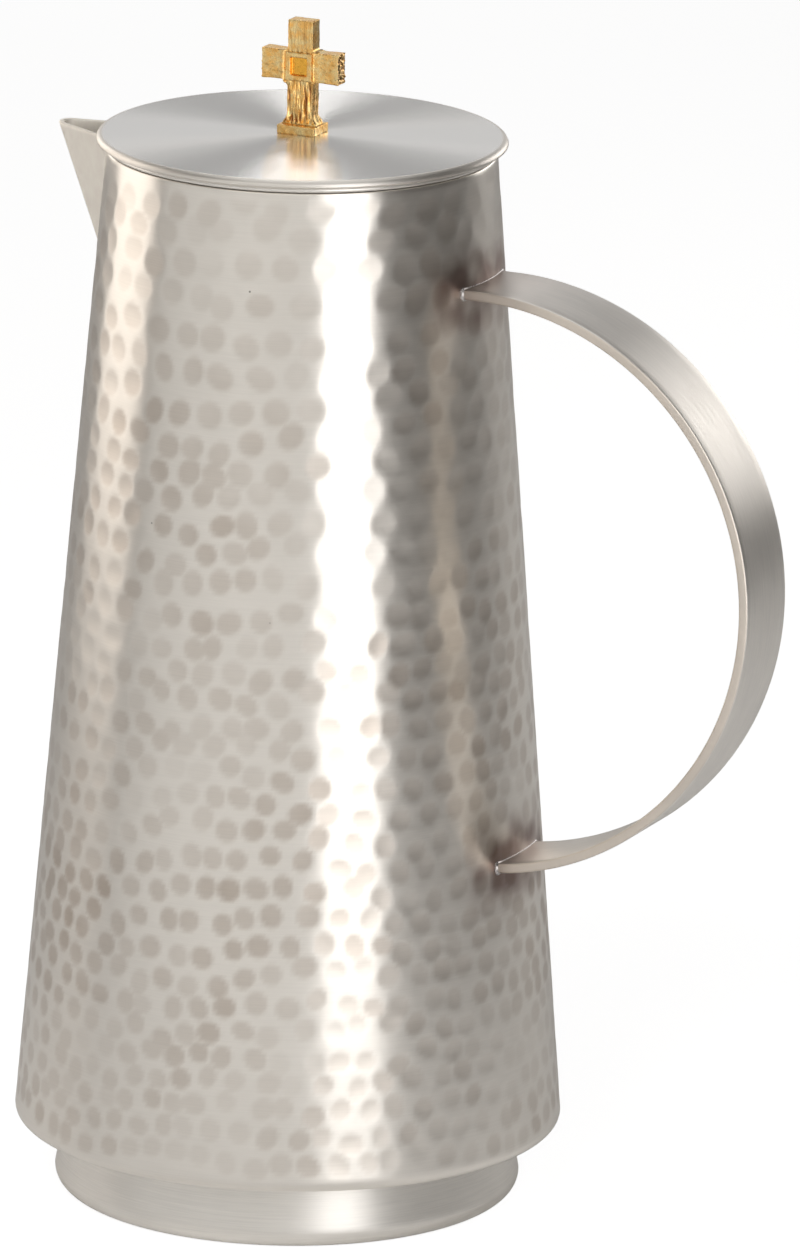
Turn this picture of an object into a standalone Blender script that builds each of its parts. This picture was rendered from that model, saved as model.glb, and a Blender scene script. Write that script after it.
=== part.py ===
"""A lidded church flagon: a tapered silver body on a smooth foot, with a folded spout,
a strap handle and a loose lid that carries a small gilt cross.

Units are metres, +Z is up, and the origin is on the body's axis where the foot stands.
The handle points along +X, the spout along -X, and the cross faces -Y.
"""

import math

import bmesh
import bpy
from mathutils import Matrix, Vector

MM = 0.001
GAP = 0.3 * MM  # left between pieces that the silversmith solders or rests together
TURNED_STEPS = 96  # facets round every large turned piece
SMALL_STEPS = 32  # facets round the screw, the washer and small holes
ARC_STEPS = 4  # facets across a rounded edge
FINE_STEPS = 3  # facets across a barely softened edge
OVERRUN = 5 * MM  # how far a cutter passes the surface that it cuts

# Body: one straight cone from a rounded bottom edge up to the mouth
SHEET = 1.2 * MM
BODY_HEIGHT = 271.0 * MM
BODY_UNDERSIDE = 18.0 * MM
BODY_EDGE_RADIUS = 2.8 * MM
BODY_FOOT_RADIUS = 69.65 * MM  # widest, where the cone meets the rounded edge
BODY_TAPER = 0.0818  # loss of radius per unit of height
BODY_FLANGE_RADIUS = 58.0 * MM  # inner edge of the turned-in flange

# Foot: a low spun band closed by a flat plate
FOOT_TOP_RADIUS = 57.0 * MM
FOOT_RADIUS = 59.3 * MM
FOOT_EDGE_RADIUS = 4.5 * MM
FOOT_LIP = 2.0 * MM  # flat width of the band's turned-in standing edge
VENT_RADIUS = 1.5 * MM
VENT_OFFSET = 38.0 * MM

# Mouth wire and lid
RIM_OUTER_RADIUS = 49.7 * MM
RIM_INNER_RADIUS = 48.0 * MM
RIM_HEIGHT = 1.2 * MM
RIM_SPOUT_GAP = math.radians(24)  # the wire is open over the spout
LID_RADIUS = 51.8 * MM
LID_DEPTH = 2.2 * MM
LID_EDGE_RADIUS = 1.5 * MM
LID_SHEET = 1.2 * MM
LID_RING_RADIUS = 47.0 * MM
LID_RING_WALL = 1.0 * MM
LID_RING_DEPTH = 6.0 * MM

# Spout: a sheet folded to a V, its fold leaning outwards
SPOUT_TIP_X = -67.7 * MM
SPOUT_TIP_Z = 271.2 * MM
SPOUT_FOLD_LEAN = 0.3745  # run of the fold towards the body per unit of fall
SPOUT_HALF_ANGLE = math.radians(22.5)
SPOUT_NOSE_RADIUS = 3.7 * MM  # outside radius of the fold at the tip
SPOUT_HEEL_RADIUS = 1.6 * MM  # and at the heel
SPOUT_TOP_FALL = 0.059  # fall of the top edge towards the body
SPOUT_HEEL_Z = 222.0 * MM
SPOUT_SHEET_LENGTH = 45.0 * MM  # of each side before it is trimmed to the body
NOTCH_APEX_Z = 234.0 * MM  # lowest point of the pouring notch in the body
NOTCH_TOP_HALF_WIDTH = 7.4 * MM

# Handle: a flat strap bent to a half circle
STRAP_WIDTH = 24.0 * MM
STRAP_THICKNESS = 2.6 * MM
STRAP_EDGE_RADIUS = 0.6 * MM
STRAP_RUN_IN = 12.0 * MM  # straight length that enters the upper joint
HANDLE_CENTRE_X = 54.2 * MM
HANDLE_CENTRE_Z = 167.6 * MM
HANDLE_OUTER_RADIUS = 75.4 * MM
HANDLE_STEPS = 48

# Cross finial
CROSS_HEIGHT = 29.0 * MM  # plinth included
CROSS_THICKNESS = 4.3 * MM
CROSS_SHAFT_HALF_WIDTH = 3.4 * MM
CROSS_SPAN = 21.2 * MM
CROSS_ARM_HALF_HEIGHT = 3.7 * MM
CROSS_ARM_CENTRE = 17.3 * MM  # above the plinth's underside
CROSS_FILLET = 1.6 * MM  # in the corners under the arms, and half of it above them
CROSS_FOOT_FLARE = 1.2 * MM  # the shaft's growth where it meets the plinth
CROSS_FOOT_FILLET = 3.0 * MM
CROSS_ARM_FLARE = 0.2 * MM  # growth of each arm's end, above and below
CROSS_FRAME_SIDE = 7.2 * MM
CROSS_FRAME_RELIEF = 0.9 * MM
CROSS_RECESS_SIDE = 4.6 * MM
CROSS_RECESS_DEPTH = 1.2 * MM
PLINTH_SIZE = Vector((10.4, 8.4, 2.3)) * MM
PLINTH_BEVEL = 0.4 * MM

# Screw that holds the finial from inside the lid
SCREW_RADIUS = 1.25 * MM
SCREW_HEAD_RADIUS = 2.5 * MM
SCREW_HEAD_DEPTH = 1.7 * MM
SCREW_HEAD_EDGE = 0.4 * MM
SCREW_LENGTH = 8.0 * MM
SCREW_HOLE_DEPTH = 7.0 * MM
SCREW_SLOT_WIDTH = 0.7 * MM
SCREW_SLOT_DEPTH = 0.8 * MM
WASHER_RADIUS = 3.5 * MM
WASHER_THICKNESS = 0.6 * MM

RIM_BASE_Z = BODY_HEIGHT + GAP
LID_SEAT_Z = RIM_BASE_Z + RIM_HEIGHT + GAP  # underside of the lid's bearing edge
LID_TOP_Z = LID_SEAT_Z + LID_DEPTH
SCREW_HOLE_RADIUS = SCREW_RADIUS + GAP


def wall_radius(z):
    """Outside radius of the body's cone at height z."""
    cone_base = BODY_UNDERSIDE + BODY_EDGE_RADIUS
    return BODY_FOOT_RADIUS - BODY_TAPER * (z - cone_base)


def clear_scene():
    for obj in list(bpy.data.objects):
        bpy.data.objects.remove(obj, do_unlink=True)


def metal(name, colour, roughness):
    material = bpy.data.materials.new(name)
    material.use_nodes = True
    shader = material.node_tree.nodes["Principled BSDF"]
    shader.inputs["Base Color"].default_value = (*colour, 1.0)
    shader.inputs["Metallic"].default_value = 1.0
    shader.inputs["Roughness"].default_value = roughness
    material.diffuse_color = (*colour, 1.0)
    return material


def add_object(name, bm, material=None, origin=(0.0, 0.0, 0.0), parent=None):
    """Turns bm, drawn in world coordinates, into an object whose origin is at origin."""
    bmesh.ops.remove_doubles(bm, verts=bm.verts, dist=1e-7)
    bmesh.ops.recalc_face_normals(bm, faces=bm.faces)
    bmesh.ops.translate(bm, verts=bm.verts, vec=-Vector(origin))
    mesh = bpy.data.meshes.new(name)
    bm.to_mesh(mesh)
    bm.free()
    mesh.shade_smooth()
    mesh.set_sharp_from_angle(angle=math.radians(30))
    obj = bpy.data.objects.new(name, mesh)
    bpy.context.scene.collection.objects.link(obj)
    obj.location = origin
    if parent:
        obj.parent = parent
        obj.location = Vector(origin) - parent.location
    if material:
        mesh.materials.append(material)
    else:
        obj.hide_render = True
        obj.display_type = "WIRE"
    return obj


def cut(obj, cutter, operation="DIFFERENCE"):
    modifier = obj.modifiers.new(cutter.name, "BOOLEAN")
    modifier.operation = operation
    modifier.solver = "EXACT"
    modifier.object = cutter


def arc(centre, radius, start, end, steps=ARC_STEPS):
    """Points of an arc in a plane, angles in degrees from the first axis to the second."""
    angles = [math.radians(start + (end - start) * i / steps) for i in range(steps + 1)]
    return [
        (centre[0] + radius * math.cos(a), centre[1] + radius * math.sin(a))
        for a in angles
    ]


def turned(profile, steps=TURNED_STEPS, start=0.0, sweep=2 * math.pi):
    """A solid turned about Z from a profile of (radius, height) points.

    A profile that starts and ends on the axis is left open there.
    """
    bm = bmesh.new()
    verts = [bm.verts.new((r, 0.0, z)) for r, z in profile]
    on_axis = profile[0][0] == 0.0 and profile[-1][0] == 0.0
    full_turn = math.isclose(sweep, 2 * math.pi)
    pairs = list(zip(verts, verts[1:]))
    if not on_axis:
        pairs.append((verts[-1], verts[0]))
    geometry = verts + [bm.edges.new(pair) for pair in pairs]
    if not full_turn:
        geometry.append(bm.faces.new(verts))
    bmesh.ops.rotate(bm, verts=bm.verts, matrix=Matrix.Rotation(start, 3, "Z"))
    bmesh.ops.spin(
        bm,
        geom=geometry,
        axis=(0, 0, 1),
        cent=(0, 0, 0),
        angle=sweep,
        steps=steps,
        use_merge=full_turn,
    )
    return bm


def loft(sections):
    """A closed solid through sections of equal point count, capped at both ends."""
    bm = bmesh.new()
    rows = [[bm.verts.new(point) for point in section] for section in sections]
    for low, high in zip(rows, rows[1:]):
        for i in range(len(low)):
            j = (i + 1) % len(low)
            bm.faces.new((low[i], low[j], high[j], high[i]))
    bm.faces.new(rows[0])
    bm.faces.new(rows[-1])
    return bm


def block(low, high):
    bm = bmesh.new()
    size = Vector(high) - Vector(low)
    centre = (Vector(high) + Vector(low)) / 2
    matrix = Matrix.Translation(centre) @ Matrix.Diagonal((*size, 1.0))
    bmesh.ops.create_cube(bm, size=1.0, matrix=matrix)
    return bm


def body_envelope():
    """The space that the body fills, a gap larger, which trims what is soldered to it."""
    low, high = BODY_UNDERSIDE, BODY_HEIGHT + OVERRUN
    bm = turned(
        [
            (0.0, high),
            (wall_radius(high) + GAP, high),
            (wall_radius(low) + GAP, low),
            (0.0, low),
        ]
    )
    return add_object("body_envelope", bm)


def body_shell(material):
    cone_base = BODY_UNDERSIDE + BODY_EDGE_RADIUS
    edge_centre = (BODY_FOOT_RADIUS - BODY_EDGE_RADIUS, cone_base)
    outer = [(wall_radius(BODY_HEIGHT), BODY_HEIGHT)]
    outer += arc(edge_centre, BODY_EDGE_RADIUS, 0, -90)
    inner = arc(edge_centre, BODY_EDGE_RADIUS - SHEET, -90, 0)
    flange = [
        (BODY_FLANGE_RADIUS, BODY_UNDERSIDE),
        (BODY_FLANGE_RADIUS, BODY_UNDERSIDE + SHEET),
    ]
    mouth = [(wall_radius(BODY_HEIGHT) - SHEET, BODY_HEIGHT)]
    shell = add_object("body_shell", turned(outer + flange + inner + mouth), material)
    cut(shell, pouring_notch())
    return shell


def pouring_notch():
    """A wedge that opens the wall behind the spout, widest at the mouth."""
    top = BODY_HEIGHT + OVERRUN
    half_width = NOTCH_TOP_HALF_WIDTH * (top - NOTCH_APEX_Z) / (BODY_HEIGHT - NOTCH_APEX_Z)
    triangle = [(0.0, NOTCH_APEX_Z), (half_width, top), (-half_width, top)]
    outside = -wall_radius(NOTCH_APEX_Z) - OVERRUN
    inside = -wall_radius(BODY_HEIGHT) + OVERRUN
    sections = [[(x, y, z) for y, z in triangle] for x in (outside, inside)]
    return add_object("pouring_notch", loft(sections))


def bottom_plate(material):
    """The body's floor, resting on the flange inside the wall."""
    low = BODY_UNDERSIDE + SHEET + GAP
    radius = BODY_FOOT_RADIUS - BODY_EDGE_RADIUS - GAP
    bm = turned([(0.0, low + SHEET), (radius, low + SHEET), (radius, low), (0.0, low)])
    return add_object("bottom_plate", bm, material, origin=(0, 0, low))


def foot_ring(material):
    top = BODY_UNDERSIDE - GAP
    edge_centre = (FOOT_RADIUS - FOOT_EDGE_RADIUS, FOOT_EDGE_RADIUS)
    lip_radius = edge_centre[0] - FOOT_LIP
    outer = [(FOOT_TOP_RADIUS, top)] + arc(edge_centre, FOOT_EDGE_RADIUS, 0, -90)
    inner = [(lip_radius, 0.0), (lip_radius, SHEET)]
    inner += arc(edge_centre, FOOT_EDGE_RADIUS - SHEET, -90, 0)
    inner += [(FOOT_TOP_RADIUS - SHEET, top)]
    return add_object("foot_ring", turned(outer + inner), material)


def foot_plate(material):
    """The flat plate that closes the foot, flush with its standing edge."""
    radius = FOOT_RADIUS - FOOT_EDGE_RADIUS - FOOT_LIP - GAP
    bm = turned([(0.0, SHEET), (radius, SHEET), (radius, 0.0), (0.0, 0.0)])
    plate = add_object("foot_plate", bm, material)
    vent = turned(
        [(0.0, 2 * SHEET), (VENT_RADIUS, 2 * SHEET), (VENT_RADIUS, -SHEET), (0.0, -SHEET)],
        SMALL_STEPS,
    )
    bmesh.ops.translate(vent, verts=vent.verts, vec=(0.0, VENT_OFFSET, 0.0))
    cut(plate, add_object("foot_vent", vent, origin=(0.0, VENT_OFFSET, 0.0)))
    return plate


def mouth_rim(material):
    """The rounded wire round the mouth, open where the spout is."""
    half = RIM_HEIGHT / 2
    middle = RIM_BASE_Z + half
    outer = arc((RIM_OUTER_RADIUS - half, middle), half, 90, -90)
    inner = [(RIM_INNER_RADIUS, RIM_BASE_Z), (RIM_INNER_RADIUS, RIM_BASE_Z + RIM_HEIGHT)]
    bm = turned(
        outer + inner,
        start=math.pi + RIM_SPOUT_GAP / 2,
        sweep=2 * math.pi - RIM_SPOUT_GAP,
    )
    return add_object("mouth_rim", bm, material, origin=(0, 0, RIM_BASE_Z))


def spout_section(z):
    """The folded sheet cut level at height z: round the outside, then back inside."""
    share = (SPOUT_TIP_Z - z) / (SPOUT_TIP_Z - SPOUT_HEEL_Z)
    radius = SPOUT_NOSE_RADIUS + (SPOUT_HEEL_RADIUS - SPOUT_NOSE_RADIUS) * share
    centre = SPOUT_TIP_X + SPOUT_FOLD_LEAN * (SPOUT_TIP_Z - z) + radius
    swing = 90 - math.degrees(SPOUT_HALF_ANGLE)
    direction = Vector((math.cos(SPOUT_HALF_ANGLE), math.sin(SPOUT_HALF_ANGLE)))
    leg = SPOUT_SHEET_LENGTH * direction

    def side(reach, sign):
        bend = arc((centre, 0.0), reach, 180 + sign * swing, 180 - sign * swing)
        first, last = Vector(bend[0]), Vector(bend[-1])
        start = first + Vector((leg.x, -sign * leg.y))
        end = last + Vector((leg.x, sign * leg.y))
        return [start, *bend, end]

    outline = side(radius, 1) + side(radius - SHEET, -1)
    return [(x, y, z) for x, y in outline]


def spout(material, envelope):
    """The folded sheet, trimmed to the body and sloped along its top."""
    top = SPOUT_TIP_Z + OVERRUN
    sheet = loft([spout_section(SPOUT_HEEL_Z), spout_section(top)])
    origin = (SPOUT_TIP_X, 0.0, SPOUT_TIP_Z)
    piece = add_object("spout", sheet, material, origin=origin)
    cut(piece, envelope)
    reach = SPOUT_SHEET_LENGTH
    above = block((-OVERRUN, -reach, 0.0), (reach + OVERRUN, reach, 3 * OVERRUN))
    trim = add_object("spout_top_trim", above)
    trim.location = origin
    trim.rotation_euler = (0.0, math.atan(SPOUT_TOP_FALL), 0.0)
    cut(piece, trim)
    return piece


def strap_section():
    """The strap's cross-section as (across, outwards) with softened edges."""
    across = STRAP_WIDTH / 2 - STRAP_EDGE_RADIUS
    outwards = STRAP_THICKNESS / 2 - STRAP_EDGE_RADIUS
    corners = [(across, outwards, 0), (-across, outwards, 90)]
    corners += [(-across, -outwards, 180), (across, -outwards, 270)]
    section = []
    for y, n, angle in corners:
        section += arc((y, n), STRAP_EDGE_RADIUS, angle, angle + 90, FINE_STEPS)
    return section


def handle_strap(material, envelope):
    middle = HANDLE_OUTER_RADIUS - STRAP_THICKNESS / 2
    section = strap_section()
    stations = [(-STRAP_RUN_IN, 0.0)]
    stations += [(0.0, 180.0 * i / HANDLE_STEPS) for i in range(HANDLE_STEPS + 1)]
    rows = []
    for run, degrees in stations:
        turn = math.radians(90 - degrees)
        row = []
        for y, n in section:
            reach = middle + n
            x = HANDLE_CENTRE_X + run + reach * math.cos(turn)
            row.append((x, y, HANDLE_CENTRE_Z + reach * math.sin(turn)))
        rows.append(row)
    origin = (HANDLE_CENTRE_X, 0.0, HANDLE_CENTRE_Z)
    strap = add_object("handle_strap", loft(rows), material, origin=origin)
    cut(strap, envelope)
    return strap


def lid_disc(material, parent):
    """The flat lid with its edge rolled under to the bearing face."""
    edge_centre = (LID_RADIUS - LID_EDGE_RADIUS, LID_TOP_Z - LID_EDGE_RADIUS)
    soft = LID_DEPTH - LID_EDGE_RADIUS
    profile = [(SCREW_HOLE_RADIUS, LID_TOP_Z)]
    profile += arc(edge_centre, LID_EDGE_RADIUS, 90, 0)
    profile += arc(
        (LID_RADIUS - soft, LID_SEAT_Z + soft), soft, 0, -90, ARC_STEPS // 2
    )
    profile += [
        (RIM_INNER_RADIUS - GAP, LID_SEAT_Z),
        (RIM_INNER_RADIUS - GAP, LID_TOP_Z - LID_SHEET),
        (SCREW_HOLE_RADIUS, LID_TOP_Z - LID_SHEET),
    ]
    origin = (0, 0, LID_SEAT_Z)
    return add_object("lid_disc", turned(profile), material, origin, parent)


def lid_locating_ring(material, parent):
    """The short collar under the lid that drops into the mouth."""
    top = LID_TOP_Z - LID_SHEET - GAP
    inner = LID_RING_RADIUS - LID_RING_WALL
    profile = [(LID_RING_RADIUS, top), (LID_RING_RADIUS, top - LID_RING_DEPTH)]
    profile += [(inner, top - LID_RING_DEPTH), (inner, top)]
    origin = (0, 0, LID_SEAT_Z)
    return add_object("lid_locating_ring", turned(profile), material, origin, parent)


def cross_outline():
    """The front of the cross as (across, up) from the plinth's underside."""
    half = CROSS_SHAFT_HALF_WIDTH
    reach = CROSS_SPAN / 2
    low = CROSS_ARM_CENTRE - CROSS_ARM_HALF_HEIGHT
    high = CROSS_ARM_CENTRE + CROSS_ARM_HALF_HEIGHT
    under, over = CROSS_FILLET, CROSS_FILLET / 2
    foot = CROSS_FOOT_FILLET
    right = [(half + CROSS_FOOT_FLARE, PLINTH_SIZE.z - GAP)]
    right += arc((half + foot, PLINTH_SIZE.z + foot), foot, 230, 180)
    right += arc((half + under, low - under), under, 180, 90, FINE_STEPS)
    right += [(reach, low - CROSS_ARM_FLARE), (reach, high + CROSS_ARM_FLARE)]
    right += arc((half + over, high + over), over, 270, 180, FINE_STEPS)
    right += [(half, CROSS_HEIGHT)]
    return right + [(-x, z) for x, z in reversed(right)]


def finial_cross(material, parent):
    """One casting: cross, framed square at the crossing and plinth, drilled from below."""
    foot = LID_TOP_Z + GAP
    half = CROSS_THICKNESS / 2
    faces = [
        [(x, y, foot + z) for x, z in cross_outline()] for y in (-half, half)
    ]
    origin = (0, 0, foot)
    cross = add_object("finial_cross", loft(faces), material, origin, parent)
    side = PLINTH_SIZE / 2
    plinth = block((-side.x, -side.y, foot), (side.x, side.y, foot + PLINTH_SIZE.z))
    bmesh.ops.bevel(
        plinth,
        geom=plinth.edges[:],
        offset=PLINTH_BEVEL,
        segments=2,
        affect="EDGES",
        profile=0.5,
    )
    cut(cross, add_object("cross_plinth", plinth), "UNION")
    centre = foot + CROSS_ARM_CENTRE
    frame = CROSS_FRAME_SIDE / 2
    depth = half + CROSS_FRAME_RELIEF
    square = block((-frame, -depth, centre - frame), (frame, depth, centre + frame))
    cut(cross, add_object("cross_frame", square), "UNION")
    recess = CROSS_RECESS_SIDE / 2
    for name, sign in (("front", -1), ("back", 1)):
        ends = sorted((sign * (depth - CROSS_RECESS_DEPTH), sign * 2 * depth))
        hollow = block((-recess, ends[0], centre - recess), (recess, ends[1], centre + recess))
        cut(cross, add_object(f"cross_recess_{name}", hollow))
    low, high = foot - OVERRUN, foot + SCREW_HOLE_DEPTH
    hole = turned(
        [(0.0, high), (SCREW_HOLE_RADIUS, high), (SCREW_HOLE_RADIUS, low), (0.0, low)],
        SMALL_STEPS,
    )
    cut(cross, add_object("cross_screw_hole", hole))
    return cross


def finial_washer(material, parent):
    top = LID_TOP_Z - LID_SHEET - GAP
    profile = [(SCREW_HOLE_RADIUS, top), (WASHER_RADIUS, top)]
    profile += [(WASHER_RADIUS, top - WASHER_THICKNESS)]
    profile += [(SCREW_HOLE_RADIUS, top - WASHER_THICKNESS)]
    bm = turned(profile, SMALL_STEPS)
    return add_object("finial_washer", bm, material, (0, 0, top), parent)


def finial_screw(material, parent):
    """A slotted screw, head down inside the lid, its shank up into the cross."""
    seat = LID_TOP_Z - LID_SHEET - 2 * GAP - WASHER_THICKNESS
    under = seat - SCREW_HEAD_DEPTH
    edge_centre = (SCREW_HEAD_RADIUS - SCREW_HEAD_EDGE, under + SCREW_HEAD_EDGE)
    profile = [(0.0, seat + SCREW_LENGTH), (SCREW_RADIUS, seat + SCREW_LENGTH)]
    profile += [(SCREW_RADIUS, seat), (SCREW_HEAD_RADIUS, seat)]
    profile += arc(edge_centre, SCREW_HEAD_EDGE, 0, -90, FINE_STEPS)
    profile += [(0.0, under)]
    origin = (0, 0, seat)
    screw = add_object("finial_screw", turned(profile, SMALL_STEPS), material, origin, parent)
    width = SCREW_SLOT_WIDTH / 2
    reach = 2 * SCREW_HEAD_RADIUS
    slot = block(
        (-reach, -width, under - SCREW_SLOT_DEPTH), (reach, width, under + SCREW_SLOT_DEPTH)
    )
    cut(screw, add_object("screw_slot", slot))
    return screw


def main():
    clear_scene()
    hammered = metal("hammered_silver", (0.80, 0.77, 0.72), 0.28)
    satin = metal("satin_silver", (0.80, 0.78, 0.75), 0.32)
    gilt = metal("gilt_cast", (0.93, 0.66, 0.30), 0.35)
    steel = metal("screw_steel", (0.70, 0.70, 0.70), 0.35)

    envelope = body_envelope()
    body_shell(hammered)
    bottom_plate(satin)
    foot_ring(satin)
    foot_plate(satin)
    mouth_rim(satin)
    spout(satin, envelope)
    handle_strap(satin, envelope)

    lid_axis = bpy.data.objects.new("lid_axis", None)
    bpy.context.scene.collection.objects.link(lid_axis)
    lid_axis.location = (0, 0, LID_SEAT_Z)
    lid_disc(satin, lid_axis)
    lid_locating_ring(satin, lid_axis)
    finial_cross(gilt, lid_axis)
    finial_washer(steel, lid_axis)
    finial_screw(steel, lid_axis)


main()
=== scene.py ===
"""The looks of the lidded church flagon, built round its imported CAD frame.

Everything is in metres in the row frame: +Z up, the handle along +X, the spout along -X.
The body is planished silver plate, the cross is a gilded casting, the rest is satin silver.
"""

import math
import random

import bpy
import numpy as np
from mathutils import Matrix, Vector, noise


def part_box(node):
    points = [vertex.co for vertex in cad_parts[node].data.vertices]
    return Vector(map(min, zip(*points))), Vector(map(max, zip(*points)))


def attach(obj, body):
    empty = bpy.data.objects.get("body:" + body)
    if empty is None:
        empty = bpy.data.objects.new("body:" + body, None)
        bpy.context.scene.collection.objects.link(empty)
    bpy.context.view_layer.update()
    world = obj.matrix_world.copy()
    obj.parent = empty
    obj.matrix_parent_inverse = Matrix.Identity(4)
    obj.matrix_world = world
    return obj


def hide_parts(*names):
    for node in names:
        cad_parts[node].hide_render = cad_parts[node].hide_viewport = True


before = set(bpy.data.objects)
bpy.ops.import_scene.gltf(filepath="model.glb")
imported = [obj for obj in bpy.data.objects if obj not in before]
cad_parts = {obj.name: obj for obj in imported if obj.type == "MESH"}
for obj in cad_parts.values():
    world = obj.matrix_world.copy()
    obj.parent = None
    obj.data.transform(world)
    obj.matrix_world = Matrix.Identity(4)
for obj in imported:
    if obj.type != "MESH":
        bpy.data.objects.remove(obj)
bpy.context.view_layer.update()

MM = 0.001

# ---- the frame's own sizes


def ring_radius(node, z):
    """Largest radius of a CAD node's points at height z."""
    points = np.array([v.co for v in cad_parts[node].data.vertices])
    near = points[np.abs(points[:, 2] - z) < 0.05 * MM]
    return float(np.hypot(near[:, 0], near[:, 1]).max())


SHEET = 1.2 * MM  # thickness of all the sheet metal
BODY_LOW, BODY_HIGH = (corner.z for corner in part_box("body_shell"))
BODY_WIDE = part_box("body_shell")[1].x  # radius where the cone meets the rounded edge
BODY_MOUTH = ring_radius("body_shell", BODY_HIGH)
BODY_EDGE = 2.8 * MM  # radius of the rounded bottom edge
CONE_BASE = BODY_LOW + BODY_EDGE
TAPER = (BODY_WIDE - BODY_MOUTH) / (BODY_HIGH - CONE_BASE)
FLANGE_RADIUS = 58.0 * MM  # inner edge of the turned-in flange
HANDLE_LOW, HANDLE_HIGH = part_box("handle_strap")
SPOUT_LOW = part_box("spout")[0]
LID_LOW, LID_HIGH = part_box("lid_disc")
RIM_LOW, RIM_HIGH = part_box("mouth_rim")
FOOT_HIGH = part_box("foot_ring")[1]
CROSS_LOW, CROSS_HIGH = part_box("finial_cross")

# The handle is half a circle in the plane y = 0, with a straight run into the body at its top
HANDLE_OUTER = (HANDLE_HIGH.z - HANDLE_LOW.z) / 2
HANDLE_X = HANDLE_HIGH.x - HANDLE_OUTER
HANDLE_Z = HANDLE_HIGH.z - HANDLE_OUTER
STRAP_HALF = HANDLE_HIGH.y
STRAP_THICKNESS = 2.6 * MM
LOWER_JOINT_RISE = 1.9 * MM  # the lower joint's middle, above the handle's lowest point
HANDLE_JOINTS = (
    HANDLE_Z + HANDLE_OUTER - STRAP_THICKNESS / 2,
    HANDLE_Z - HANDLE_OUTER + LOWER_JOINT_RISE,
)


def wall_radius(z):
    """Outside radius of the undented cone at height z."""
    return BODY_WIDE - TAPER * (z - CONE_BASE)


# ---- mesh helpers


def arc(centre, radius, start, end, steps):
    """Points of an arc in a plane, angles in degrees from the first axis to the second."""
    angles = np.radians(np.linspace(start, end, steps + 1))
    return [(centre[0] + radius * math.cos(a), centre[1] + radius * math.sin(a)) for a in angles]


def line(start, end, steps):
    """Points from start towards end, without the end itself."""
    return [tuple(np.array(start) + (np.array(end) - start) * i / steps) for i in range(steps)]


def turn(profile, columns):
    """A grid of points: the (radius, height) profile carried round the Z axis."""
    angles = np.linspace(0, 2 * math.pi, columns, endpoint=False)
    r, z = np.array(profile).T
    x = np.outer(r, np.cos(angles))
    y = np.outer(r, np.sin(angles))
    return np.stack([x, y, np.repeat(z[:, None], columns, axis=1)], axis=-1)


def grid_faces(rows, columns, closed=False, first=0):
    """Quads over rings of points stored one by one from index first, closed end to end or not."""
    index = first + np.arange(rows * columns).reshape(rows, columns)
    if closed:
        index = np.vstack([index, index[:1]])
    index = np.hstack([index, index[:, :1]])
    quads = np.stack([index[:-1, :-1], index[:-1, 1:], index[1:, 1:], index[1:, :-1]], axis=-1)
    return quads.reshape(-1, 4).tolist()


def end_faces(rings, columns):
    """The two faces that close the ends of such rings."""
    last = (rings - 1) * columns
    return [list(range(columns))[::-1], list(range(last, last + columns))]


def signed_volume(points, faces):
    """Six times the enclosed volume, negative where the faces point inwards."""
    total = 0.0
    for size in sorted({len(face) for face in faces}):
        corners = points[np.array([face for face in faces if len(face) == size])]
        for i in range(1, size - 1):
            a, b, c = corners[:, 0], corners[:, i], corners[:, i + 1]
            total += float(np.einsum("ij,ij->i", a, np.cross(b, c)).sum())
    return total


def add_object(name, data):
    """A new object in the scene."""
    obj = bpy.data.objects.new(name, data)
    bpy.context.scene.collection.objects.link(obj)
    return obj


def closed_mesh(name, points, faces):
    """A new object with a closed mesh, its faces turned outwards."""
    points = np.asarray(points, float).reshape(-1, 3)
    if signed_volume(points, faces) < 0:
        faces = [face[::-1] for face in faces]
    mesh = bpy.data.meshes.new(name)
    mesh.from_pydata(points.tolist(), [], faces)
    mesh.update()
    return add_object(name, mesh)


def make_piece(name, points, faces, material, body, slot, stands_for=(), crease=35):
    """A smooth-shaded mesh that rides on a CAD body and may stand for CAD nodes."""
    piece = closed_mesh(name, points, faces)
    piece.data.shade_smooth()
    piece.data.set_sharp_from_angle(angle=math.radians(crease))
    piece.data.materials.append(material)
    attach(piece, body)
    if stands_for:
        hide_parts(*stands_for)
    return piece


def turned_piece(name, profile, *looks):
    """A closed profile carried round the Z axis. The rest is what make_piece takes."""
    faces = grid_faces(len(profile), FINE_COLUMNS, closed=True)
    make_piece(name, turn(profile, FINE_COLUMNS), faces, *looks)


def tube_piece(name, path, radii, *looks, sides=10, closed=False):
    """A round bead along a path of points, as thick as radii says at each of them."""
    path = np.array(path)
    if closed:
        tangents = np.roll(path, -1, axis=0) - np.roll(path, 1, axis=0)
    else:
        tangents = np.gradient(path, axis=0)
    tangents /= np.linalg.norm(tangents, axis=1)[:, None]
    angles = np.arange(sides) * 2 * math.pi / sides
    rows = []
    for point, tangent, radius in zip(path, tangents, radii):
        across = np.cross(tangent, (0.3, 0.2, 0.93))  # a direction that no bead runs along
        across /= np.linalg.norm(across)
        up = np.cross(across, tangent)
        circle = np.outer(np.cos(angles), across) + np.outer(np.sin(angles), up)
        rows.append(point + radius * circle)
    faces = grid_faces(len(path), sides, closed)
    if not closed:
        faces += end_faces(len(path), sides)
    make_piece(name, rows, faces, *looks)


def uneven(path, radius):
    """Radii for a bead of solder along a path: near radius, a little different everywhere."""
    return [radius * (1 + 0.25 * noise.noise(Vector(point) * 400)) for point in path]


def store(piece, name, values):
    """Keeps one number for each point of a mesh, for its material to read."""
    attribute = piece.data.attributes.new(name, "FLOAT", "POINT")
    attribute.data.foreach_set("value", np.asarray(values, np.float32).ravel())


# ---- materials


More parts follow.
